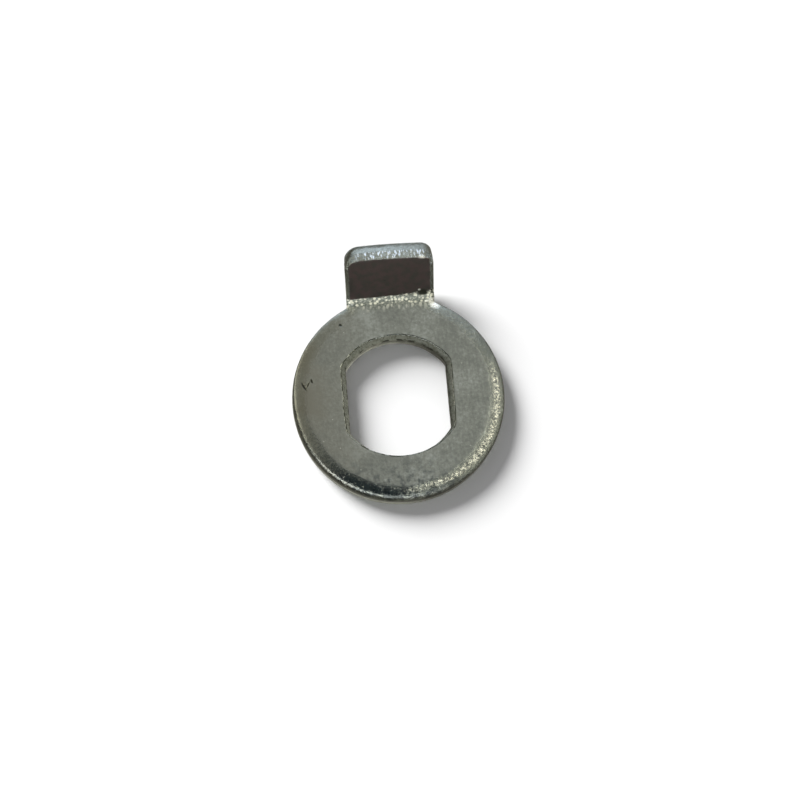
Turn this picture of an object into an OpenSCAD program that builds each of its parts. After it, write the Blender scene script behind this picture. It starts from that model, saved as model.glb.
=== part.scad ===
// Anti-rotation washer: a blanked and folded steel tab washer for a 12 mm axle with two flats.
// The bottom face is the seat, z = 0. The hole axis is Z, and the tab is folded up on the +Y side.

/* [Sheet] */
// Thickness of the sheet
sheet_t = 2.2; // [1.5:0.1:3]
// Width of the rolled edge that the blanking die leaves round the upper face of the disc
rim_roll_w = 1.45; // [0.8:0.05:1.6]
// Depth of the rolled edge of the disc
rim_roll_d = 0.38; // [0.2:0.02:0.5]
// Width of the rolled edge round the tab, which is stiffer in the die
tab_roll_w = 0.55; // [0.3:0.05:0.8]
// Depth of the rolled edge of the tab
tab_roll_d = 0.18; // [0.1:0.02:0.3]
// How far the torn lower part of the outer wall draws in
tear_in = 0.1; // [0.04:0.02:0.2]
// Height above the seat at which the torn part of the wall ends
tear_h = 0.8; // [0.3:0.1:1]

/* [Disc] */
// Outer diameter of the disc
disc_d = 21.5; // [20:0.1:23]

/* [Axle hole] */
// Diameter of the two round ends of the hole
hole_d = 12.2; // [10.8:0.1:13]
// Distance across the two flats of the hole
hole_flats = 10.2; // [8:0.1:10.4]
// Depth of the rounded-in lower edge of the hole, where the punch goes in
punch_roll = 0.15; // [0.05:0.05:0.3]
// Height above the seat of the sheared part of the hole, above which it tears open
hole_land = 1.3; // [0.6:0.1:1.4]
// How much wider the torn part of the hole is on each side at the upper face
hole_tear = 0.2; // [0.05:0.05:0.4]

/* [Tab] */
// Width of the tab
tab_w = 9; // [7:0.1:10]
// Length of the straight blade beyond the fold
blade_l = 5; // [3:0.1:9]
// Radius of the two outer corners of the blade
corner_r = 1.2; // [1.2:0.1:2]
// Distance of the fold's start from the hole axis
fold_y = 9.65; // [9.2:0.05:9.9]
// Radius on the inner side of the fold
fold_r = 1.0; // [0.5:0.1:2]
// How far the sheet is folded up out of the disc's plane, in degrees
fold_angle = 58; // [40:1:90]
// How much the stretched sheet draws in on each side in the fold
fold_thin = 0.03; // [0.02:0.01:0.06]
// Radius of the two inside corners where the tab leaves the disc
root_r = 0.5; // [0.3:0.1:0.8]

/* [Hidden] */
$fn = 96;

disc_r = disc_d / 2;
fold_lap = 0.1;  // how far the neck and the blade reach into the fold
fillet_lap = 0.5; // how far a root fillet reaches past the rolled edge into the disc
fillet_in = 0.03; // how far a root fillet is drawn in, so that it crosses the rim and the tab's side
// The neck begins where the whole of its width is still on the flat of the disc
neck_y = min(sqrt(pow(disc_r - rim_roll_w, 2) - pow(tab_w / 2, 2)) - 0.2, fold_y - 1);

// Section through the sheet at a blanked edge, from x = 0 to the edge at x = reach.
// The edge is rolled at the upper face, straight where it was sheared and drawn in where it tore.
// The roll is an arc that leaves the upper face smoothly.
module edge_section(reach, roll_w, roll_d) {
    roll_r = (roll_w * roll_w + roll_d * roll_d) / (2 * roll_d);
    intersection() {
        polygon([
            [0, 0], [reach - tear_in, 0], [reach, tear_h], [reach, sheet_t], [0, sheet_t]
        ]);
        union() {
            if (roll_r < sheet_t) square([reach, sheet_t - roll_r]);
            square([reach - roll_w, sheet_t]);
            translate([reach - roll_w, sheet_t - roll_r]) circle(r = roll_r);
        }
    }
}

module rim_section(reach) edge_section(reach, rim_roll_w, rim_roll_d);
module tab_section(reach) edge_section(reach, tab_roll_w, tab_roll_d);

// Section across the tab's width, blanked on both sides, and drawn in by thin all round
module strip_section(thin = 0) {
    half = tab_w / 2 - thin;
    intersection() {
        union() {
            tab_section(half);
            mirror([1, 0]) tab_section(half);
        }
        translate([-half, thin]) square([2 * half, sheet_t - 2 * thin]);
    }
}

// Straight strip of the tab's width, lying flat, from y0 to y1
module strip(y0, y1) {
    translate([0, y1, 0]) rotate([90, 0, 0]) linear_extrude(height = y1 - y0) strip_section();
}

// Blade of the tab lying flat, from a little before y = 0 to its rounded end
module blade() {
    corner_x = tab_w / 2 - corner_r;
    corner_y = blade_l - corner_r;
    strip(-fold_lap, corner_y);
    translate([-corner_x, corner_y, 0]) rotate([90, 0, 90])
        linear_extrude(height = 2 * corner_x) tab_section(corner_r);
    for (side = [0, 1]) mirror([side, 0, 0])
        translate([corner_x, corner_y, 0]) rotate_extrude(angle = 90) tab_section(corner_r);
}

// Tab: a short flat neck inside the disc, the fold, where the stretched sheet is thinner, and the blade
module tab() {
    strip(neck_y, fold_y + fold_lap);
    translate([0, fold_y, sheet_t + fold_r]) {
        rotate([0, 90, 0]) rotate_extrude(angle = fold_angle)
            translate([fold_r + sheet_t, 0]) rotate([0, 0, 90]) strip_section(fold_thin);
        rotate([fold_angle, 0, 0]) translate([0, 0, -sheet_t - fold_r]) blade();
    }
}

// Fillet in the inside corner between the disc's rim and the side of the tab
module root_fillet() {
    centre_x = tab_w / 2 + root_r;
    centre_y = sqrt(pow(disc_r + root_r, 2) - pow(centre_x, 2));
    reach = rim_roll_w + fillet_lap;
    translate([centre_x, centre_y, 0]) rotate([0, 0, 180])
        rotate_extrude(angle = atan2(centre_y, centre_x))
            translate([root_r + fillet_in + reach, 0]) mirror([1, 0]) rim_section(reach);
}

// Disc with its blanked rim, cut away where the fold begins
module disc() {
    difference() {
        rotate_extrude() rim_section(disc_r);
        translate([-tab_w / 2, fold_y, -1]) cube([tab_w, disc_r, sheet_t + 2]);
    }
}

// One length of the hole's cutter, from z0 to z1, which grows on every side from g0 to g1
module hole_step(z0, z1, g0, g1) {
    flat = hole_flats / 2;
    intersection() {
        translate([0, 0, z0])
            cylinder(h = z1 - z0, r1 = hole_d / 2 + g0, r2 = hole_d / 2 + g1);
        translate([0, hole_d, 0]) rotate([90, 0, 0]) linear_extrude(height = 2 * hole_d)
            polygon([[-flat - g0, z0], [flat + g0, z0], [flat + g1, z1], [-flat - g1, z1]]);
    }
}

// Axle hole: rounded in where the punch entered, sheared to size, then torn open upwards
module axle_hole() {
    tear_rate = hole_tear / (sheet_t - hole_land);
    over = 0.5;
    hole_step(-over, punch_roll, punch_roll + over, 0);
    hole_step(0, hole_land, 0, 0);
    hole_step(hole_land, sheet_t + over, 0, hole_tear + tear_rate * over);
}

module washer() {
    color("silver")
    difference() {
        union() {
            disc();
            tab();
            for (side = [0, 1]) mirror([side, 0, 0]) root_fillet();
        }
        axle_hole();
    }
}

washer();
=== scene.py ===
from math import atan, atan2, cos, hypot, pi, radians, sin, sqrt, tan

import bmesh
import bpy
from mathutils import Matrix, Vector, noise


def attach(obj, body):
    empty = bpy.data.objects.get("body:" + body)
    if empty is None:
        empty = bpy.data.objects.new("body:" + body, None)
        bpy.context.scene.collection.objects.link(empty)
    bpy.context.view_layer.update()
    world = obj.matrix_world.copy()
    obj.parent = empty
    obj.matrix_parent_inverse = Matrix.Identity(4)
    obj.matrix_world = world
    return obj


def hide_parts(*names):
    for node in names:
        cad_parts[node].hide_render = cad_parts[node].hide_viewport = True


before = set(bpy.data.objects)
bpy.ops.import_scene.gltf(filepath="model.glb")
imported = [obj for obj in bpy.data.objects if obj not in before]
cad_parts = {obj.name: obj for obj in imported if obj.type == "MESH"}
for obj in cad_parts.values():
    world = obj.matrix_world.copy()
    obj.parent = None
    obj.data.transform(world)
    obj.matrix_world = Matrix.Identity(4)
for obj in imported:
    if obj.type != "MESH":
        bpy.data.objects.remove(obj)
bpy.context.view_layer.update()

mm = 0.001
scene = bpy.context.scene
scene.view_settings.view_transform = "Standard"


def linearColour(hexColour):
    # sRGB hex to linear
    parts = [int(hexColour[i:i + 2], 16) / 255 for i in (0, 2, 4)]
    return [p / 12.92 if p <= 0.04045 else ((p + 0.055) / 1.055) ** 2.4 for p in parts] + [1.0]


def addNode(tree, kind, inputs=None, stops=None, **settings):
    # one node with its settings and links; an input is a value, a socket, or a node's first output
    node = tree.nodes.new(kind)
    for name, value in settings.items():
        setattr(node, name, value)
    for name, value in (inputs or {}).items():
        if isinstance(value, bpy.types.Node):
            value = value.outputs[0]
        if isinstance(value, bpy.types.NodeSocket):
            tree.links.new(value, node.inputs[name])
        else:
            node.inputs[name].default_value = value
    for i, (position, colour) in enumerate(stops or []):
        element = node.color_ramp.elements[i] if i < 2 else node.color_ramp.elements.new(position)
        element.position = position
        element.color = linearColour(colour)
    return node


def newMaterial(name):
    material = bpy.data.materials.new(name)
    material.use_nodes = True
    material.node_tree.nodes.clear()
    return material, material.node_tree


# the flat blank as the die cuts it, in millimetres, upper face up

blank = {
    "sheet": 2.2,
    "discRadius": 10.75,
    "holeRadius": 6.1,
    "holeHalfFlats": 5.1,
    "holeCorner": 0.3,
    "tabHalfWidth": 4.5,
    "tabCorners": (1.2, 1.6),           # right and left
    "rootRadius": 0.5,
    "endBow": 0.16,                     # how far the worn end falls back at its corners
    "bowFrom": (12, 16),                # where on the tab's sides that begins and is full
    # the die's rolled edge on the disc, on the tab's sides and at the tab's end, which broke away there
    "rollWidths": (1.7, 0.45, 0.42),
    "rollDepths": (0.38, 0.16, 0.95),
    "rollPowers": (1.65, 1.65, 1.25),   # the higher, the more of the fall comes at the roll's outer end
    "edgeRadii": (0.3, 0.14, 0.14),     # between roll and wall
    "rollSteps": 10,
    "rollSpread": 0.8,                  # below 1 the steps are shorter towards the roll's outer end
    "edgeSteps": 5,
    "faceMargins": (0.15, 0.02),        # points just inside the roll, so the face stays flat up to it
    "tabFrom": (9.4, 10.8),             # where the disc's edge turns into the tab's
    "endFrom": (1.2, 0.3),              # and the tab's into the end's, in millimetres short of the end
    "cornerNarrowing": 0.6,             # the roll narrows round the tab's corners, down to the narrowest
    "narrowest": 0.2,
    "frontWear": (0.08, 0.6),           # how much deeper the roll and larger the radius are at the front
    "frontFrom": (3, 9),                # where that begins and is full, forwards from the hole's axis
    "frontAskew": 0.6,                  # it begins sooner on the left
    "tearHeight": 0.85,                 # the torn foot of the outer wall
    "tearIn": 0.04,                     # how far it stands in at its lower end
    "tearStep": 0.02,                   # and where it begins
    "endTearLoss": 0.75,                # share of its height that is missing at the tab's end
    "footHeight": 0.07,                 # where it turns under
    # points down the torn foot, as the share of the way and how ragged it is there, and then those to
    # the lower face, as how much further in, height and cut
    "footSteps": ((0.12, 0.5), (0.35, 1), (0.65, 1), (0.88, 0.6)),
    "footTurn": ((0.01, 0.04, 2), (0.04, 0.01, 1), (0.09, 0, 0), (0.3, 0, 0)),
    "seamHeight": 0.04,                 # turn from sheared to torn, on both walls
    "landHeight": 1.3,                  # the sheared part of the hole's wall, from the seat up
    "holeTear": 0.2,                    # how far the torn part above it stands back
    "holeTearShares": (0.85, 0.5, 1.25),    # of that: everywhere, more towards the tab, more at the flats
    "lipDepth": 0.06,                   # how far its lip goes down from the upper face
    "lipBack": 0.01,                    # and stands back behind the torn part
    "lipHeight": 0.03,                  # from the lip down to the top of the torn wall
    # points from the upper face to the lip, as how far behind the torn part, how far down, rolled and
    # cut, and then those of the torn wall, as the share of the way up and how ragged it is there
    "lipTurn": ((0.35, 0, 0, 0), (0.17, 0, 0, 0), (0.06, 0.012, 0.3, 0.6)),
    "tornSteps": ((0.85, 1), (0.6, 1), (0.35, 1), (0.1, 0.4)),
    "punchRoll": 0.15,                  # rolled edge round the hole's lower side
    # the edges' lines are wavy: by how much, over how many millimetres, and a seed
    "waves": {
        "roll": (0.14, 3.1, 2.0),
        "tear": (0.2, 1.7, 5.0),
        "tearTeeth": (0.12, 0.35, 8.0),
        "tornWall": (0.04, 0.3, 11.0),
        "land": (0.15, 1.3, 21.0),
        "landTeeth": (0.08, 0.3, 24.0),
        "holeTear": (0.15, 1.1, 26.0),
        "holeWall": (0.035, 0.28, 31.0),
        "lip": (0.03, 0.5, 41.0),
    },
    "outlineStep": 0.14,
    "gridStep": 0.45,
    "foldStep": 0.1,
    "foldMargins": (0.2, 0.1),          # the closer cuts begin before the fold and end after it
    "cutTolerance": 0.0005,
}

# the press tool that turns the tab up; names are the node tree's inputs

foldTool = {
    "Fold start": 9.65 * mm,
    "Inner radius": 1.0 * mm,
    "Angle": radians(58),
    "Sheet": blank["sheet"] * mm,
    "Neutral": 0.42,   # where the sheet keeps its length, as a share of its thickness from the lower face up
    "Bulge": 0.02,     # sideways swell of the squeezed inner side
    "Unevenness": 0.02 * mm,
    "Waves per metre": 420.0,
    "Seed": 4.0,
}
bladeLength = 5.0
keptRadius = foldTool["Inner radius"] / mm + (1 - foldTool["Neutral"]) * blank["sheet"]
foldLength = foldTool["Angle"] * keptRadius
blankEnd = foldTool["Fold start"] / mm + foldLength + bladeLength


def fade(value, start, end):
    # 0 up to the start, 1 from the end on
    return min(max((value - start) / (end - start), 0), 1)


def arc(centre, radius, start, end, step, side=1):
    # points on an arc with their normals; side is -1 where the normals point at the centre
    count = max(2, round(abs(end - start) * radius / step))
    made = []
    for i in range(count):
        a = start + (end - start) * i / count
        made.append((centre[0] + radius * cos(a), centre[1] + radius * sin(a), side * cos(a), side * sin(a)))
    return made


def straight(a, b, step):
    run = Vector(b) - Vector(a)
    count = max(2, round(run.length / step))
    along = run.normalized()
    return [(*(Vector(a) + run * i / count), along.y, -along.x) for i in range(count)]


def outerOutline(w):
    # counter-clockwise from the left root: disc, right root, tab, left root; small radii have closer points
    step = w["outlineStep"]
    half, root, (right, left) = w["tabHalfWidth"], w["rootRadius"], w["tabCorners"]
    cx = half + root
    cy = sqrt((w["discRadius"] + root) ** 2 - cx * cx)
    lean = atan2(cy, cx)
    outline = (arc((0, 0), w["discRadius"], pi - lean, 2 * pi + lean, step)
               + arc((cx, cy), root, pi + lean, pi, step / 2, -1)
               + straight((half, cy), (half, blankEnd - right), step)
               + arc((half - right, blankEnd - right), right, 0, pi / 2, step / 1.5)
               + straight((half - right, blankEnd), (left - half, blankEnd), step)
               + arc((left - half, blankEnd - left), left, pi / 2, pi, step / 1.5)
               + straight((-half, blankEnd - left), (-half, cy), step)
               + arc((-cx, cy), root, 0, -lean, step / 2, -1))
    bow = w["endBow"]
    return [(x, y - bow * (x / half) ** 2 * fade(y, *w["bowFrom"]), nx, ny) for x, y, nx, ny in outline]


def holeOutline(w):
    # double-D, counter-clockwise, with the punch's small corner radii; normals point into the metal
    step = w["outlineStep"]
    flat, radius, corner = w["holeHalfFlats"], w["holeRadius"], w["holeCorner"]
    cx = flat - corner
    cy = sqrt((radius - corner) ** 2 - cx * cx)
    lean = atan2(cy, cx)
    half = (straight((flat, -cy), (flat, cy), step)
            + arc((cx, cy), corner, 0, lean, step / 3)
            + arc((0, 0), radius, lean, pi - lean, step)
            + arc((-cx, cy), corner, pi - lean, pi, step / 3))
    return half + [(-x, -y, -nx, -ny) for x, y, nx, ny in half]


def wave(w, line, x, y, further=0):
    # how far one of the edges' lines strays at a place; another value of further gives another wave
    much, size, seed = w["waves"][line]
    return much * noise.noise(Vector((x / size, y / size, seed + further)))


def outerSection(w, x, y):
    # section of the cut edge at a place on the outline, from the upper face round to the lower:
    # (distance in from the outline, height, rolled, cut); cut is 1 where sheared and 2 where torn
    onTab = fade(y, *w["tabFrom"])
    onTab = onTab * onTab * (3 - 2 * onTab)
    endStart, endFull = w["endFrom"]
    atEnd = fade(y, blankEnd - endStart, blankEnd - endFull)
    width, depth, power, edge = [
        onDisc + (onSide - onDisc) * onTab + (onEnd - onSide) * atEnd
        for onDisc, onSide, onEnd in (w["rollWidths"], w["rollDepths"], w["rollPowers"], w["edgeRadii"])]
    width *= 1 + wave(w, "roll", x, y)
    # round the tab's corners the roll narrows, so the face inside it has squarer ones
    corner = max(min(w["tabHalfWidth"] - abs(x), blankEnd - w["endBow"] - y), 0) * onTab
    width = max(width - w["cornerNarrowing"] * corner, w["narrowest"])
    front = fade(-y - w["frontAskew"] * x, *w["frontFrom"])
    depth += w["frontWear"][0] * front
    edge += w["frontWear"][1] * front
    # the roll falls as a power of the way across it, and its outer radius takes over at the same slope
    top, rollSteps, edgeSteps = w["sheet"], w["rollSteps"], w["edgeSteps"]
    slope = atan(depth * power / width * (1 - edge / width) ** (power - 1))
    start = edge * (1 - sin(slope))
    section = [(width + margin, top, 0, 0) for margin in w["faceMargins"]]
    for i in range(rollSteps + 1):
        rolled = i / rollSteps
        inset = width + (start - width) * rolled ** w["rollSpread"]
        section.append((inset, top - depth * (1 - inset / width) ** power, rolled, 0))
    centre = section[-1][1] - edge * cos(slope)
    for i in range(1, edgeSteps + 1):
        a = slope + (pi / 2 - slope) * i / edgeSteps
        section.append((edge * (1 - sin(a)), centre + edge * cos(a), 1, i / edgeSteps))
    tear = w["tearHeight"] * (1 + wave(w, "tear", x, y) + wave(w, "tearTeeth", x, y))
    tear *= 1 - w["endTearLoss"] * atEnd
    section += [(0, centre + (tear - centre) * 0.5, 0.6, 1), (0, tear + w["seamHeight"], 0.3, 1)]
    low = w["tearIn"]
    for share, rough in w["footSteps"]:
        inset = low * share + w["tearStep"] + rough * wave(w, "tornWall", x, y, 7 * share)
        section.append((max(inset, 0), tear + (w["footHeight"] - tear) * share, 0, 2))
    return section + [(low + further, height, 0, cut) for further, height, cut in w["footTurn"]]


def holeSection(w, x, y):
    # the same for the hole, which is punched from below: torn above, sheared below, rolled underneath
    top, roll, away = w["sheet"], w["punchRoll"], hypot(x, y)
    everywhere, towardsTab, atFlats = w["holeTearShares"]
    tear = w["holeTear"] * (everywhere + towardsTab * y / away + atFlats * (x / away) ** 2)
    tear *= 1 + wave(w, "holeTear", x, y)
    land = w["landHeight"] * (1 + wave(w, "land", x, y) + wave(w, "landTeeth", x, y))
    lip = top - w["lipDepth"] - wave(w, "lip", x, y)
    section = [(tear + behind, top - down, rolled, cut) for behind, down, rolled, cut in w["lipTurn"]]
    section.append((tear + w["lipBack"], lip, 0.5, 1.6))
    for share, rough in w["tornSteps"]:
        inset = tear * share + rough * wave(w, "holeWall", x, y, 5 * share)
        section.append((inset, land + (lip - w["lipHeight"] - land) * share, 0, 2))
    section += [(0, land - w["seamHeight"], 0, 1), (0, (land + roll) / 2, 0, 1), (0, roll, 0.5, 1)]
    # a quarter round to the lower face
    section += [(roll * 0.13, roll * 0.5, 1, 0.6), (roll * 0.5, roll * 0.13, 1, 0.2)]
    return section + [(roll, 0, 0.5, 0), (roll + 0.25, 0, 0, 0)]


def cutEdge(bm, layers, outline, sectionAt, w, side):
    # sweeps the section round the outline; returns the loops of edges on the upper and the lower face
    rows = []
    for x, y, nx, ny in outline:
        row = []
        for inset, height, rolled, cut in sectionAt(w, x, y):
            vert = bm.verts.new((x - side * nx * inset, y - side * ny * inset, height))
            vert[layers["rolled"]], vert[layers["cut"]] = rolled, cut
            row.append(vert)
        rows.append(row)
    pairs = list(zip(rows, rows[1:] + rows[:1]))
    for a, b in pairs:
        for k in range(len(a) - 1):
            bm.faces.new((a[k], b[k], b[k + 1], a[k + 1]))
    return [[bm.edges.get((a[k], b[k])) for a, b in pairs] for k in (0, -1)]


def flatBlank(w):
    bm = bmesh.new()
    layers = {name: bm.verts.layers.float.new(name) for name in ("rolled", "cut")}
    outer = cutEdge(bm, layers, outerOutline(w), outerSection, w, 1)
    inner = cutEdge(bm, layers, holeOutline(w), holeSection, w, -1)
    for k in (0, 1):
        bmesh.ops.triangle_fill(bm, use_beauty=True, use_dissolve=False, edges=outer[k] + inner[k])
    # a grid of cuts carries the sheet's unevenness, and closer cuts let it fold
    reach = int(w["discRadius"] / w["gridStep"])
    cuts = [((w["gridStep"] * i, 0, 0), (1, 0, 0)) for i in range(-reach, reach + 1)]
    foldStart = foldTool["Fold start"] / mm
    closeFrom = foldStart - w["foldMargins"][0]
    closeTo = foldStart + foldLength + w["foldMargins"][1]
    y = w["gridStep"] - w["discRadius"]
    while y < blankEnd:
        cuts.append(((0, y, 0), (0, 1, 0)))
        y += w["foldStep"] if closeFrom < y < closeTo else w["gridStep"]
    for place, normal in cuts:
        bmesh.ops.bisect_plane(bm, geom=bm.verts[:] + bm.edges[:] + bm.faces[:], dist=w["cutTolerance"],
                               plane_co=place, plane_no=normal)
    # the flat place of every point stays with it through the fold, for the patterns
    flatPlace = bm.verts.layers.float_vector.new("flatPlace")
    for vert in bm.verts:
        vert[flatPlace] = vert.co
    bmesh.ops.scale(bm, vec=(mm, mm, mm), verts=bm.verts)
    bmesh.ops.recalc_face_normals(bm, faces=bm.faces)
    for face in bm.faces:
        face.smooth = True
    mesh = bpy.data.meshes.new("washerBlank")
    bm.to_mesh(mesh)
    bm.free()
    piece = bpy.data.objects.new("washer_sheet", mesh)
    scene.collection.objects.link(piece)
    return piece


# each line is a sum of the press: result, operation, first and second term
foldSums = (
    ("past", "SUBTRACT", "y", "Fold start"),
    ("ahead", "MAXIMUM", "past", 0.0),
    ("behind", "MINIMUM", "past", 0.0),
    ("keeps", "SUBTRACT", 1.0, "Neutral"),
    ("keptDepth", "MULTIPLY", "keeps", "Sheet"),
    ("keptRadius", "ADD", "Inner radius", "keptDepth"),
    ("wanted", "DIVIDE", "ahead", "keptRadius"),
    ("turned", "MINIMUM", "wanted", "Angle"),
    ("beyond", "SUBTRACT", "wanted", "turned"),
    ("blade", "MULTIPLY", "beyond", "keptRadius"),
    ("pivot", "ADD", "Inner radius", "Sheet"),
    ("radius", "SUBTRACT", "pivot", "z"),
    ("sine", "SINE", "turned", 0.0),
    ("cosine", "COSINE", "turned", 0.0),
    ("arcOut", "MULTIPLY", "radius", "sine"),
    ("bladeOut", "MULTIPLY", "blade", "cosine"),
    ("out", "ADD", "arcOut", "bladeOut"),
    ("outFrom", "ADD", "out", "Fold start"),
    ("newY", "ADD", "outFrom", "behind"),
    ("arcUp", "MULTIPLY", "radius", "cosine"),
    ("bladeUp", "MULTIPLY", "blade", "sine"),
    ("up", "SUBTRACT", "bladeUp", "arcUp"),
    ("newZ", "ADD", "up", "pivot"),
    # squeezed metal swells sideways at the inner side, stretched metal draws in at the outer
    ("foldShare", "DIVIDE", "turned", "Angle"),
    ("foldTurn", "MULTIPLY", "foldShare", pi),
    ("hump", "SINE", "foldTurn", 0.0),
    ("depthShare", "DIVIDE", "z", "Sheet"),
    ("fromMiddle", "SUBTRACT", "depthShare", 0.5),
    ("bulging", "MULTIPLY", "hump", "Bulge"),
    ("swell", "MULTIPLY", "bulging", "fromMiddle"),
    ("widen", "MULTIPLY", "x", "swell"),
    ("newX", "ADD", "x", "widen"),
)


def foldTree(material):
    tree = bpy.data.node_groups.new("foldTab", "GeometryNodeTree")
    tree.interface.new_socket("Geometry", in_out="INPUT", socket_type="NodeSocketGeometry")
    for name in foldTool:
        tree.interface.new_socket(name, in_out="INPUT", socket_type="NodeSocketFloat")
    tree.interface.new_socket("Geometry", in_out="OUTPUT", socket_type="NodeSocketGeometry")
    given = addNode(tree, "NodeGroupInput").outputs
    position = addNode(tree, "GeometryNodeInputPosition")
    split = addNode(tree, "ShaderNodeSeparateXYZ", {0: position}).outputs
    values = {"x": split[0], "y": split[1], "z": split[2], **{name: given[name] for name in foldTool}}
    for result, operation, a, b in foldSums:
        values[result] = addNode(tree, "ShaderNodeMath", {0: values.get(a, a), 1: values.get(b, b)},
                                 operation=operation)
    folded = addNode(tree, "ShaderNodeCombineXYZ", {0: values["newX"], 1: values["newY"], 2: values["newZ"]})
    moved = addNode(tree, "GeometryNodeSetPosition", {"Geometry": given["Geometry"], "Position": folded})
    # the unevenness of a tumbled sheet, only ever inwards
    rough = addNode(tree, "ShaderNodeTexNoise",
                    {"Vector": position, "W": given["Seed"], "Scale": given["Waves per metre"]},
                    noise_dimensions="4D")
    depth = addNode(tree, "ShaderNodeMath", {0: rough, 1: given["Unevenness"]}, operation="MULTIPLY")
    normal = addNode(tree, "GeometryNodeInputNormal")
    push = addNode(tree, "ShaderNodeVectorMath", {0: normal, "Scale": depth}, operation="SCALE")
    inwards = addNode(tree, "ShaderNodeVectorMath", {0: push, "Scale": -1.0}, operation="SCALE")
    uneven = addNode(tree, "GeometryNodeSetPosition", {"Geometry": moved, "Offset": inwards})
    real = addNode(tree, "GeometryNodeRealizeInstances", {0: uneven})
    finished = addNode(tree, "GeometryNodeSetMaterial", {"Geometry": real, "Material": material})
    addNode(tree, "NodeGroupOutput", {0: finished})
    return tree


def foldTab(piece, material):
    modifier = piece.modifiers.new("foldTab", "NODES")
    modifier.node_group = foldTree(material)
    for item in modifier.node_group.interface.items_tree:
        if item.in_out == "INPUT" and item.name in foldTool:
            modifier[item.identifier] = foldTool[item.name]
    folded = bpy.data.meshes.new_from_object(piece.evaluated_get(bpy.context.evaluated_depsgraph_get()))
    piece.modifiers.remove(modifier)
    flat = piece.data
    piece.data = folded
    bpy.data.meshes.remove(flat)


# bright zinc plate on stamped and tumbled steel: a half-dull grey-green film of fine grains, with painted
# sparkle highlights where the die or the fold stretched it, darker and more yellow towards the left, and a
# painted dark reflection in brown inside the tab

zincPlate = {
    "plain": ((0.4, "6e716a"), (0.5, "7e8179"), (0.6, "92968f")),
    # darker towards the right (farRight) is painted shade, against the side light's sheen
    "plainTones": (          # what moves it from darker to lighter, and how much
        ("clouds", 0.35), ("blotch", 0.12), ("grain", 0.43), ("streaks", 0.1), ("farRight", -0.06)),
    "torn": ((0.3, "6b6d63"), (0.55, "92968f")),
    # painted dark reflection in brown, for the tab's inner face
    "inside": ((0.4, "55514d"), (0.6, "5d5250")),
    "leftTone": "727166",
    # painted dark reflection, in blotches towards the front
    "frontDarkReflection": "565a57",
    "stretched": "59635b",
    # painted sparkle highlights on the rim, in the fold and on the tab's end
    "paintedSparkle": "e6e5d4",
    "tooth": "ccd2d6",
    "speck": "a9aba1",
    # painted dark reflection on the sheared land round the disc
    "sheared": "454744",
    "glint": "f2f2e8",
    "nick": "34352e",
    "roughness": 0.205,      # where it is smoothest
    # millimetres across a mark along x, y and z, detail and roughness of the noise
    "noises": {
        "clouds": ((3.333, 3.333, 3.333), 3.0, 0.5),
        "blotch": ((0.7143, 0.7143, 0.7143), 4.0, 0.5),
        "grain": ((0.3, 0.3, 0.3), 4.0, 0.7),              # twice the real size, so that it shows
        "flecks": ((0.2174, 0.2174, 0.2174), 4.0, 0.6),    # also drawn coarser
        "teeth": ((0.2, 0.625, 0.625), 2.0, 0.5),
        "streaks": ((0.2, 2.5, 1.0), 3.0, 0.5),
        "shear": ((0.1667, 0.1667, 1.111), 4.0, 0.5),
        "crinkles": ((0.24, 0.4, 0.4), 3.0, 0.6),          # of squeezed or stretched metal
    },
    "cell": (0.3226, 0.6452, 0.6452),    # millimetres between the blobs in the fold
    "speckGap": 0.7692,                  # and between the specks on the face
    "spotDepth": 0.6,        # how far a nick or a glint reaches through the sheet
    "spotEdge": (0.1, 0.5),
    "nicks": (               # place on the flat blank, angle, length and width
        (-9.45, 1.65, -62, 0.72, 0.17),
        (-9.02, 1.75, 62, 0.5, 0.13),
        (-8.62, 2.15, -70, 0.34, 0.15),
        (-5.3, 7.85, -40, 0.28, 0.17),
        (3.35, 11.95, -15, 0.72, 0.74),
    ),
    "glints": (
        (3.35, 17.0, 0, 0.75, 0.75),
        (4.62, 9.6, 0, 0.9, 0.85),
        (4.2, 10.4, 0, 0.5, 0.46),
        (3.7, 10.0, 0, 0.36, 0.34),
        (3.0, 12.45, 0, 0.2, 0.16),
    ),
}

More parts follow.
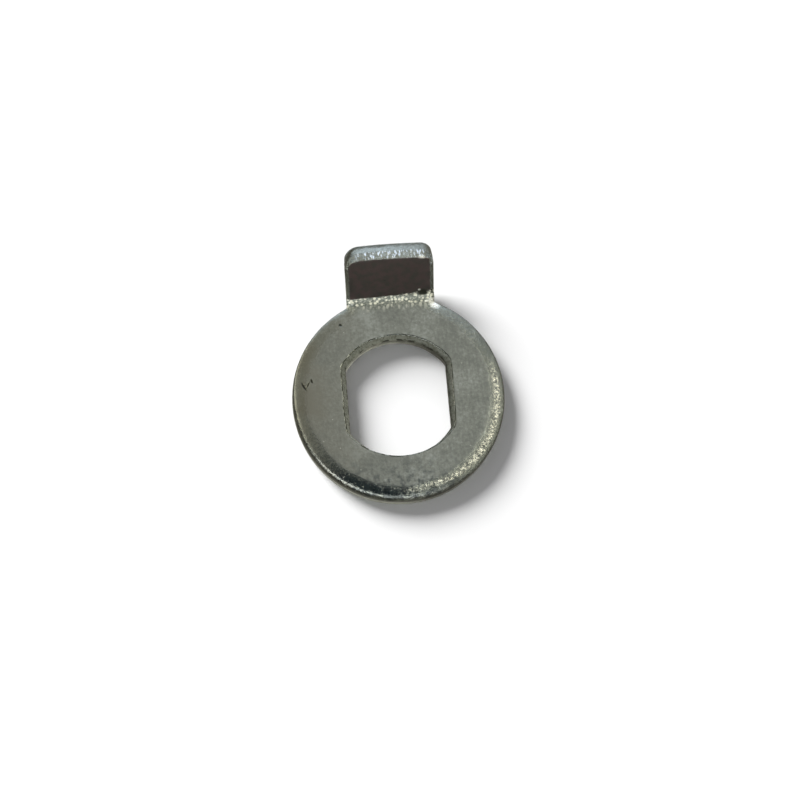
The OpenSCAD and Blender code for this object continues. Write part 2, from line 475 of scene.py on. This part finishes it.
# each line is a sum over the patterns: result, operation, first and second term;
# a range runs from 0 at its first value to 1 at its second
plateSums = (
    ("leftward", "RANGE", "x", (-2.0, -9.0)),
    # painted shade, darker towards the right
    ("farRight", "RANGE", "x", (2.0, 9.0)),
    # darker and more yellow towards the left, in cloud-shaped patches
    ("filmy", "RANGE", "clouds", (0.2, 0.6)),
    ("leftToning", "MULTIPLY", "leftward", "filmy"),
    ("onRoll", "RANGE", "rolled", (0.03, 0.3)),
    # the fold, which ends raggedly below the inside of the tab
    ("rag", "MULTIPLY", "grain", 0.9),
    ("raggedY", "ADD", "rag", "y"),
    ("askew", "MULTIPLY", "x", 0.085),
    ("borderY", "SUBTRACT", "raggedY", "askew"),
    ("pastFold", "RANGE", "borderY", (12.2, 12.4)),
    ("upper", "RANGE", "z", (1.9, 2.05)),
    ("smallRag", "MULTIPLY", "grain", 0.25),
    ("raggedRoll", "ADD", "rolled", "smallRag"),
    ("unrolled", "RANGE", "raggedRoll", (0.25, 0.19)),
    ("pastFoldUpper", "MULTIPLY", "pastFold", "upper"),
    # the tab's inner face, which gets a painted dark reflection
    ("inside", "MULTIPLY", "pastFoldUpper", "unrolled"),
    ("intoFold", "RANGE", "y", (8.9, 10.1)),
    ("outOfFold", "SUBTRACT", 1.0, "pastFold"),
    ("folded", "MULTIPLY", "intoFold", "outOfFold"),
    ("atEnd", "RANGE", "y", (blankEnd - 1.5, blankEnd - 1.2)),
    ("endRoll", "MULTIPLY", "onRoll", "atEnd"),
    ("sheer", "SUBTRACT", 1.0, "cut"),
    ("toothed", "MULTIPLY", "endRoll", "sheer"),
    # painted sparkle highlights: flecks on a ridge along the right of the rim, blobs in the fold
    # and teeth on the tab's end
    ("ridgeIn", "RANGE", "rolled", (0.25, 0.45)),
    ("ridgeOut", "RANGE", "rolled", (0.9, 0.7)),
    ("rightmost", "RANGE", "x", (-2.0, 3.0)),
    ("lower", "RANGE", "y", (3.2, 1.0)),
    ("ridge", "MULTIPLY", "ridgeIn", "ridgeOut"),
    ("rightRidge", "MULTIPLY", "ridge", "rightmost"),
    ("lowerRidge", "MULTIPLY", "rightRidge", "lower"),
    ("paintedSparkle", "RANGE", "flecks", (0.43, 0.65)),
    ("paintedRidgeSparkle", "MULTIPLY", "paintedSparkle", "lowerRidge"),
    ("blob", "RANGE", "blobs", (0.58, 0.38)),
    ("nearInside", "RANGE", "y", (10.2, 12.2)),
    ("denser", "MULTIPLY", "nearInside", 0.25),
    ("picks", "ADD", "blobPicks", "denser"),
    ("chosen", "RANGE", "picks", (0.38, 0.48)),
    ("pickedBlobs", "MULTIPLY", "blob", "chosen"),
    ("fineBlobs", "MULTIPLY", "paintedSparkle", 0.5),
    ("allBlobs", "MAXIMUM", "pickedBlobs", "fineBlobs"),
    ("blobbed", "MULTIPLY", "allBlobs", "folded"),
    ("stretching", "MULTIPLY", "folded", 0.65),
    ("tooth", "RANGE", "teeth", (0.49, 0.59)),
    ("notLeft", "RANGE", "x", (-3.6, -2.4)),
    ("someTeeth", "MULTIPLY", "tooth", "notLeft"),
    ("paintedEndGlints", "MULTIPLY", "someTeeth", "toothed"),
    # the cut walls: burnished where sheared, dull where torn; on the disc's rim the sheared land
    # gets a painted dark reflection
    ("torn", "RANGE", "cut", (1.0, 1.6)),
    ("cutOn", "RANGE", "cut", (0.5, 0.9)),
    ("cutOff", "RANGE", "cut", (1.4, 1.1)),
    ("land", "MULTIPLY", "cutOn", "cutOff"),
    ("onDisc", "RANGE", "y", (9.9, 9.3)),
    ("atRim", "RANGE", "away", (9.4, 9.8)),
    ("discLand", "MULTIPLY", "land", "onDisc"),
    ("rimLand", "MULTIPLY", "discLand", "atRim"),
    # dark dashes at the hole's lip and along the end of its torn part
    ("lipOn", "RANGE", "cut", (0.05, 0.3)),
    ("lipOff", "RANGE", "cut", (1.2, 0.9)),
    ("lip", "MULTIPLY", "lipOn", "lipOff"),
    ("seamOn", "RANGE", "z", (1.05, 1.15)),
    ("seamOff", "RANGE", "z", (1.55, 1.4)),
    ("seam", "MULTIPLY", "seamOn", "seamOff"),
    ("seams", "MAXIMUM", "lip", "seam"),
    ("atHole", "RANGE", "away", (7.6, 7.2)),
    ("broken", "RANGE", "blotch", (0.48, 0.54)),
    # a darker band down the lower part of the hole's right wall, at half strength
    ("holeRight", "RANGE", "x", (0.5, 3.5)),
    ("rightSeam", "RANGE", "z", (1.75, 1.55)),
    ("rightShare", "MULTIPLY", "holeRight", 0.5),
    ("rightDark", "MULTIPLY", "rightSeam", "rightShare"),
    ("allSeams", "MAXIMUM", "seams", "rightDark"),
    ("unbroken", "MAXIMUM", "broken", "rightShare"),
    ("holeSeams", "MULTIPLY", "allSeams", "atHole"),
    ("dashes", "MULTIPLY", "holeSeams", "unbroken"),
    ("speckNear", "RANGE", "speckles", (0.1, 0.04)),
    ("specks", "MULTIPLY", "speckNear", "broken"),
    # darker blotches towards the front of the rim: painted dark reflection
    ("lowDown", "RANGE", "y", (-5.5, -9.0)),
    ("smudgy", "RANGE", "blotch", (0.47, 0.62)),
    ("paintedFrontReflection", "MULTIPLY", "lowDown", "smudgy"),
    # heights of the bumps
    ("betweenBlobs", "SUBTRACT", 1.0, "blobbed"),
    ("foldBump", "MULTIPLY", "folded", 0.4),
    ("foldCrinkle", "MULTIPLY", "foldBump", "betweenBlobs"),
    ("crinkled", "MAXIMUM", "toothed", "foldCrinkle"),
    ("rightward", "RANGE", "x", (-4.0, 4.0)),
    ("frontward", "RANGE", "y", (-5.0, -8.5)),
    ("rightCoarse", "MULTIPLY", "rightward", 0.3),
    ("sparks", "RANGE", "flecks", (0.57, 0.65)),
    ("frontSparks", "MULTIPLY", "frontward", "sparks"),
    ("frontCoarse", "MULTIPLY", "frontSparks", 0.5),
    ("coarse", "MAXIMUM", "rightCoarse", "frontCoarse"),
    ("coarser", "ADD", "coarse", 0.1),
    ("rollGrain", "MULTIPLY", "onRoll", "coarser"),
    ("grainHeight", "ADD", "rollGrain", 0.09),
    # shine
    ("blotchRough", "MULTIPLY", "blotch", 0.25),
    ("plainRough", "ADD", "blotchRough", "roughness"),
    ("frontShine", "MULTIPLY", "frontward", -0.08),
    ("rollShine", "ADD", "frontShine", -0.15),
    ("rolledRough", "MULTIPLY", "onRoll", "rollShine"),
    ("foldRough", "MULTIPLY", "folded", 0.12),
    ("stretchedRough", "ADD", "rolledRough", "foldRough"),
    ("tornRough", "MULTIPLY", "torn", 0.15),
    ("blobRough", "MULTIPLY", "blobbed", 0.2),
    ("rollRough", "ADD", "plainRough", "stretchedRough"),
    ("cutRough", "ADD", "rollRough", "tornRough"),
    ("rough", "ADD", "cutRough", "blobRough"),
)


def spots(tree, place, w, marks):
    # the brightest of a set of soft oval spots on the upper face
    found = 0.0
    for x, y, angle, length, width in w[marks]:
        at = addNode(tree, "ShaderNodeMapping",
                     {"Vector": place, "Location": (x, y, blank["sheet"]), "Rotation": (0, 0, radians(angle)),
                      "Scale": (length, width, w["spotDepth"])}, vector_type="TEXTURE")
        spot = addNode(tree, "ShaderNodeTexGradient", {"Vector": at}, gradient_type="SPHERICAL").outputs[1]
        found = addNode(tree, "ShaderNodeMath", {0: spot, 1: found}, operation="MAXIMUM")
    faint, full = w["spotEdge"]
    return addNode(tree, "ShaderNodeMapRange", {"Value": found, "From Min": faint, "From Max": full})


def zincPlateMaterial(w):
    material, tree = newMaterial("brightZincPlate")
    # every pattern lies on the flat blank, in millimetres, so it follows the sheet round the fold
    place = addNode(tree, "ShaderNodeAttribute", attribute_name="flatPlace").outputs["Vector"]
    x, y, z = addNode(tree, "ShaderNodeSeparateXYZ", {0: place}).outputs
    values = {
        "x": x, "y": y, "z": z, "roughness": w["roughness"],
        "rolled": addNode(tree, "ShaderNodeAttribute", attribute_name="rolled").outputs["Fac"],
        "cut": addNode(tree, "ShaderNodeAttribute", attribute_name="cut").outputs["Fac"],
        "away": addNode(tree, "ShaderNodeVectorMath", {0: place}, operation="LENGTH").outputs["Value"],
        "speckles": addNode(tree, "ShaderNodeTexVoronoi", {"Vector": place, "Scale": 1 / w["speckGap"]}),
    }
    at = addNode(tree, "ShaderNodeMapping", {"Vector": place, "Scale": [1 / size for size in w["cell"]]})
    cells = addNode(tree, "ShaderNodeTexVoronoi", {"Vector": at, "Scale": 1.0}).outputs
    values["blobs"], values["blobPicks"] = cells["Distance"], cells["Color"]
    for name, (sizes, detail, roughness) in w["noises"].items():
        at = addNode(tree, "ShaderNodeMapping", {"Vector": place, "Scale": [1 / size for size in sizes]})
        values[name] = addNode(tree, "ShaderNodeTexNoise",
                               {"Vector": at, "Scale": 1.0, "Detail": detail, "Roughness": roughness})
    for result, operation, a, b in plateSums:
        if operation == "RANGE":
            values[result] = addNode(tree, "ShaderNodeMapRange",
                                     {"Value": values[a], "From Min": b[0], "From Max": b[1]})
        else:
            values[result] = addNode(tree, "ShaderNodeMath", {0: values.get(a, a), 1: values.get(b, b)},
                                     operation=operation)
    values["nicks"] = spots(tree, place, w, "nicks")
    values["glints"] = spots(tree, place, w, "glints")
    # colour of the plain faces, then what lies over it; inputs 6 and 7 of a Mix node are its colours
    tone = 0.0
    for layer, share in w["plainTones"]:
        tone = addNode(tree, "ShaderNodeMath", {0: values[layer], 1: share, 2: tone},
                       operation="MULTIPLY_ADD")
    colour = addNode(tree, "ShaderNodeValToRGB", {0: tone}, w["plain"])
    tornColour = addNode(tree, "ShaderNodeValToRGB", {0: values["shear"]}, w["torn"])
    insideColour = addNode(tree, "ShaderNodeValToRGB", {0: values["blotch"]}, w["inside"])
    # the sparkle, glint and dark reflection layers among these are painted light
    for mask, over in (
            ("leftToning", "leftTone"), ("paintedFrontReflection", "frontDarkReflection"), ("stretching", "stretched"),
            ("paintedRidgeSparkle", "paintedSparkle"), ("blobbed", "paintedSparkle"), ("paintedEndGlints", "tooth"), ("specks", "speck"),
            ("inside", insideColour), ("torn", tornColour), ("rimLand", "sheared"), ("dashes", "nick"),
            ("glints", "glint"), ("nicks", "nick")):
        over = linearColour(w[over]) if isinstance(over, str) else over
        mixed = addNode(tree, "ShaderNodeMix", {0: values[mask], 6: colour, 7: over}, data_type="RGBA")
        colour = mixed.outputs[2]
    # grains and crinkles stand up where the metal was stretched: pattern, strength, millimetres, pressed in
    normal = None
    for layer, strength, height, pressed in (
            ("grain", "grainHeight", 0.2, False), ("crinkles", "crinkled", 0.22, False),
            ("streaks", 0.1, 0.02, False), ("shear", "torn", 0.1, False), ("nicks", 0.8, 0.04, True)):
        strength = values.get(strength, strength)
        inputs = {"Height": values[layer], "Strength": strength, "Distance": height * mm}
        if normal:
            inputs["Normal"] = normal
        normal = addNode(tree, "ShaderNodeBump", inputs, invert=pressed)
    shader = addNode(tree, "ShaderNodeBsdfPrincipled",
                     {"Base Color": colour, "Metallic": 1.0, "Roughness": values["rough"], "Normal": normal})
    addNode(tree, "ShaderNodeOutputMaterial", {0: shader})
    return material


print("blank")
washer = flatBlank(blank)
print("fold")
foldTab(washer, zincPlateMaterial(zincPlate))
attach(washer, "root")
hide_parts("washer")


# table, lamp and the cards that the metal mirrors; directions are degrees from +X and above the table

studio = {
    "tableHalf": 1.5,
    "tableColour": "f2f2f2",
    "sunFrom": (130, 28),
    "sunAngle": 31,      # wide, for soft shadows
    "sunStrength": 6.1,
    "air": 0.3,          # how strongly the white surroundings light what isn't a mirror
    "matHalf": 60 * mm,
    "matHeight": 0.01 * mm,            # just above the table
    "matColours": ("d4d2c4", "8a887e", "84837a", "a8a69e"),   # near the washer, then far; each left, right
    "matAcross": (-1 * mm, 3 * mm),    # where the left colours turn into the right ones
    "matOutwards": (12 * mm, 15 * mm),  # and the near ones into the far ones
    "cardDistance": 300 * mm,
    "cards": (   # name, towards, width and height in degrees, colour, strength
        ("darkFlag", (-117, 64), (78, 50), "58636a", 1.0),
        ("sideBox", (-5, 59), (36, 9), "fffdf0", 6.0),
        ("rightBoard", (-10, 38), (100, 28), "b4b2a0", 1.0),
        ("frontStrip", (-110, 31), (90, 13), "fbfcff", 6.0),
        ("lowFlag", (-90, 16), (120, 17), "40372f", 1.0),
        ("skirt", (-90, 2), (120, 12), "77766a", 1.0),
        ("backStrip", (90, 15), (80, 30), "dfecff", 2.6),
        ("leftBoard", (160, 52), (70, 34), "dbdad2", 1.0),
        ("leftFlag", (184, 11), (46, 22), "464747", 1.0),
        ("leftStrip", (162, 26), (60, 16), "e9e8dd", 3.5),
        ("rightFlag", (0, 10), (60, 22), "3d3b33", 1.0),
    ),
}


def flatSheet(name, halfWidth, halfHeight, material):
    corners = [(x * halfWidth, y * halfHeight, 0) for x, y in ((-1, -1), (1, -1), (1, 1), (-1, 1))]
    mesh = bpy.data.meshes.new(name)
    mesh.from_pydata(corners, [], [(0, 1, 2, 3)])
    mesh.materials.append(material)
    sheet = bpy.data.objects.new(name, mesh)
    scene.collection.objects.link(sheet)
    return sheet


def makeTable(s):
    material, tree = newMaterial("whiteTable")
    shader = addNode(tree, "ShaderNodeBsdfDiffuse", {"Color": linearColour(s["tableColour"])})
    addNode(tree, "ShaderNodeOutputMaterial", {0: shader})
    table = flatSheet("table", s["tableHalf"], s["tableHalf"], material)


def makeAir(s):
    world = bpy.data.worlds.new("studioAir")
    scene.world = world
    world.use_nodes = True
    tree = world.node_tree
    tree.nodes.clear()
    path = addNode(tree, "ShaderNodeLightPath").outputs
    seen = addNode(tree, "ShaderNodeMath", {0: path["Is Camera Ray"], 1: path["Is Glossy Ray"]},
                   operation="MAXIMUM")
    seen = addNode(tree, "ShaderNodeMath", {0: seen, 1: path["Is Transmission Ray"]}, operation="MAXIMUM")
    strength = addNode(tree, "ShaderNodeMapRange", {"Value": seen, "To Min": s["air"], "To Max": 1.0})
    air = addNode(tree, "ShaderNodeBackground", {"Color": (1, 1, 1, 1), "Strength": strength})
    addNode(tree, "ShaderNodeOutputWorld", {0: air})


def placeTowards(thing, direction, distance):
    # at a direction from the washer, facing it
    across, above = [radians(d) for d in direction]
    away = Vector((cos(above) * cos(across), cos(above) * sin(across), sin(above)))
    thing.location = away * distance
    thing.rotation_mode = "QUATERNION"
    thing.rotation_quaternion = away.to_track_quat("Z", "Y")


def makeSun(s):
    data = bpy.data.lights.new("sun", "SUN")
    data.angle = radians(s["sunAngle"])
    data.energy = s["sunStrength"]
    lamp = bpy.data.objects.new("sun", data)
    scene.collection.objects.link(lamp)
    placeTowards(lamp, s["sunFrom"], s["cardDistance"])
    lamp.visible_glossy = False


def makeCard(s, name, direction, size, colour, strength):
    # only the metal's reflections see a card
    material, tree = newMaterial(name + "Paint")
    glow = addNode(tree, "ShaderNodeEmission", {"Color": linearColour(colour), "Strength": strength})
    addNode(tree, "ShaderNodeOutputMaterial", {0: glow})
    halfWidth, halfHeight = [s["cardDistance"] * tan(radians(degrees / 2)) for degrees in size]
    card = flatSheet(name, halfWidth, halfHeight, material)
    placeTowards(card, direction, s["cardDistance"])
    card.visible_camera = card.visible_diffuse = card.visible_shadow = False


def makeMat(s):
    # a grey mat under the washer that only its mirrored walls see
    material, tree = newMaterial("greyMat")
    where = addNode(tree, "ShaderNodeTexCoord").outputs["Object"]
    x = addNode(tree, "ShaderNodeSeparateXYZ", {0: where}).outputs["X"]
    away = addNode(tree, "ShaderNodeVectorMath", {0: where}, operation="LENGTH").outputs["Value"]
    across, outwards = [
        addNode(tree, "ShaderNodeMapRange", {"Value": value, "From Min": start, "From Max": end})
        for value, (start, end) in ((x, s["matAcross"]), (away, s["matOutwards"]))]
    nearLeft, nearRight, farLeft, farRight = s["matColours"]
    near = addNode(tree, "ShaderNodeValToRGB", {0: across}, ((0.0, nearLeft), (1.0, nearRight)))
    far = addNode(tree, "ShaderNodeValToRGB", {0: across}, ((0.0, farLeft), (1.0, farRight)))
    paint = addNode(tree, "ShaderNodeMix", {0: outwards, 6: near, 7: far}, data_type="RGBA").outputs[2]
    glow = addNode(tree, "ShaderNodeEmission", {"Color": paint})
    addNode(tree, "ShaderNodeOutputMaterial", {0: glow})
    mat = flatSheet("mat", s["matHalf"], s["matHalf"], material)
    mat.location.z = s["matHeight"]
    mat.visible_camera = mat.visible_diffuse = mat.visible_shadow = False


print("studio")
makeMat(studio)
makeTable(studio)
makeAir(studio)
makeSun(studio)
for cardValues in studio["cards"]:
    makeCard(studio, *cardValues)


# camera, fitted to the washer's edges in the photograph

shot = {
    "target": (0.10, -0.48, 2.2),   # millimetres, like the distance
    "distance": 148.0,
    "towards": (-100.4, 75.0),
    "roll": 5.84,
    "lens": 66.2,
    "sensor": 36,
    "seesFrom": 1 * mm,
    "seesTo": 10,
}


def makeCamera(s):
    data = bpy.data.cameras.new("camera")
    data.lens = s["lens"]
    data.sensor_width = s["sensor"]
    data.clip_start, data.clip_end = s["seesFrom"], s["seesTo"]
    camera = bpy.data.objects.new("camera", data)
    scene.collection.objects.link(camera)
    placeTowards(camera, s["towards"], s["distance"] * mm)
    camera.location += Vector(s["target"]) * mm
    camera.rotation_quaternion @= Matrix.Rotation(radians(s["roll"]), 4, "Z").to_quaternion()
    scene.camera = camera


makeCamera(shot)
